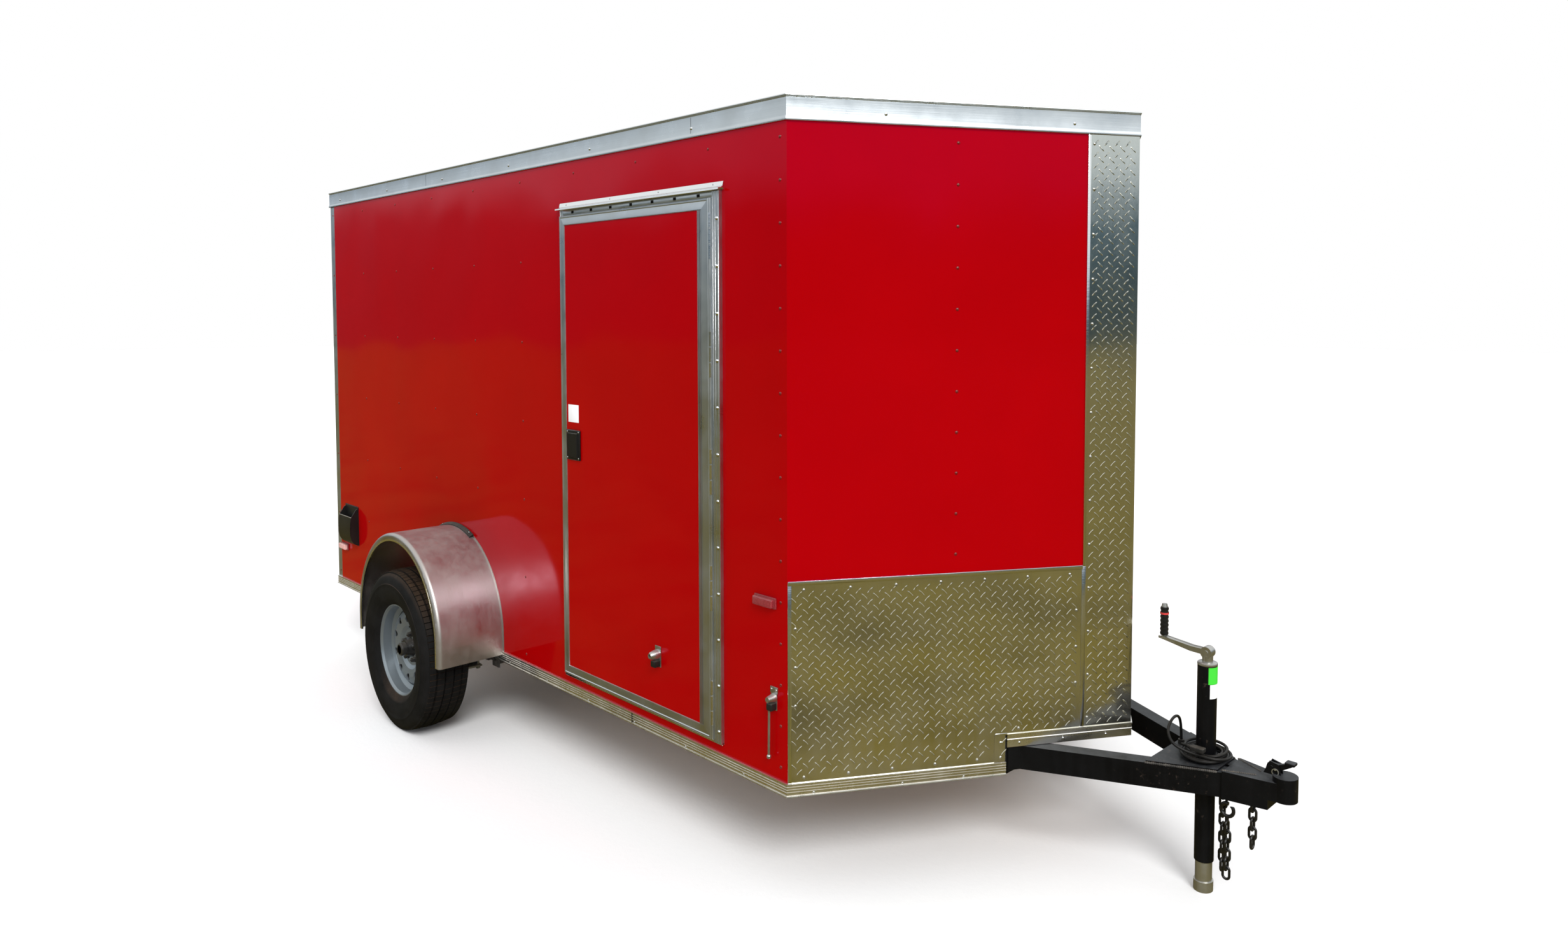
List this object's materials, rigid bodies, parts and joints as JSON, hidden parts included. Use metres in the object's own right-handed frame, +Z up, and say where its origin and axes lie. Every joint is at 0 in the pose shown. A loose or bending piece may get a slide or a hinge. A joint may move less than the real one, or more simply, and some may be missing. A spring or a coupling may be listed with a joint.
{
  "type": "enclosed cargo trailer",
  "caption": "Enclosed cargo trailer on one axle, with a V nose, side door, rear ramp door, round fenders, tread-plate guards, an A-frame tongue and a crank jack.",
  "frame": {"origin": "on the ground, in the middle of the trailer's overall length and width, standing on its wheels and its jack", "axes": "+X forwards, along the tongue; +Y to the trailer's left; +Z up"},
  "size_m": [4.871, 2.491, 2.438],
  "materials": {
    "red_skin": "gloss red baked paint on aluminium sheet",
    "trim_aluminium": "mill-finish extrusions",
    "tread_plate": "polished tread plate",
    "fender_aluminium": "satin rolled sheet with a bright lip",
    "black_steel": "black enamel",
    "spring_steel": "dull black",
    "zinc": "zinc plated",
    "dark_steel": "black coated",
    "plywood": "plywood sheet",
    "tyre": "moulded rubber",
    "wheel_silver": "silver enamel",
    "hub_black": "black cast iron",
    "black_plastic": "moulded",
    "lens": "red lens",
    "cord_rubber": "black jacket"
  },
  "bodies": {
    "trailer": {"frame_rails": "black_steel", "tongue_beams": "black_steel", "crossmembers": "black_steel", "nose_rails": "black_steel", "axle": "black_steel", "leaf_springs": "spring_steel", "spring_hangers": "black_steel", "left_wall": "red_skin", "right_wall": "red_skin", "nose_wall_left": "red_skin", "nose_wall_right": "red_skin", "floor": "plywood", "roof": "trim_aluminium", "roof_trim": "trim_aluminium", "bottom_trim": "trim_aluminium", "stone_guards": "tread_plate", "notch_caps": "tread_plate", "nose_column": "tread_plate", "rear_frame": "trim_aluminium", "side_door_frame": "trim_aluminium", "door_holdback": "zinc", "drip_cap": "trim_aluminium", "ramp_hinge": "black_steel", "fenders": "fender_aluminium", "marker_lights": "lens", "rear_lights": "lens", "side_vents": "black_plastic", "tongue_plate": "black_steel", "jack_tube": "black_steel", "coupler": "black_steel", "coupler_latch": "black_steel", "safety_chains": "dark_steel", "chain_hook": "dark_steel", "cord_gland": "black_plastic", "cord_tube": "cord_rubber", "cord_coil": "cord_rubber", "cord_plug": "black_plastic"},
    "side_door": {"side_door_panel": "red_skin", "side_door_rim": "trim_aluminium", "side_door_latch": "black_plastic", "side_door_catch": "zinc"},
    "ramp_door": {"ramp_door_panel": "red_skin", "ramp_lock_bars": "zinc"},
    "jack_leg": {"jack_leg": "zinc"},
    "jack_crank": {"jack_crank": "zinc"},
    "left_wheel": {"tyre_left": "tyre", "rim_left": "wheel_silver", "hub_left": "hub_black"},
    "right_wheel": {"tyre_right": "tyre", "rim_right": "wheel_silver", "hub_right": "hub_black"}
  },
  "joints": [
    {"name": "left_wheel_turn", "type": "hinge", "parent": "trailer", "child": "left_wheel", "pos_m": [-0.9415, 1.1445, 0.344], "axis": [0, 1, 0], "continuous": true},
    {"name": "right_wheel_turn", "type": "hinge", "parent": "trailer", "child": "right_wheel", "pos_m": [-0.9415, -1.1445, 0.344], "axis": [0, 1, 0], "continuous": true},
    {"name": "side_door_swing", "type": "hinge", "parent": "trailer", "child": "side_door", "pos_m": [0.9205, -0.9655, 0.433], "axis": [0, 0, 1], "range_deg": [0, 145]},
    {"name": "ramp_door_drop", "type": "hinge", "parent": "trailer", "child": "ramp_door", "pos_m": [-2.3995, 0, 0.416], "axis": [0, -1, 0], "range_deg": [0, 101]},
    {"name": "jack_crank_turn", "type": "hinge", "parent": "trailer", "child": "jack_crank", "pos_m": [2.1515, 0, 0.72], "axis": [0, 0, 1], "range_deg": [0, 8820]},
    {"name": "jack_leg_slide", "type": "slide", "parent": "trailer", "child": "jack_leg", "axis": [0, 0, 1], "range_m": [0, 0.0611]}
  ],
  "couplings": [
    {"joint": "jack_leg_slide", "follows": "jack_crank_turn", "m_per_rad": 0.00039626}
  ]
}
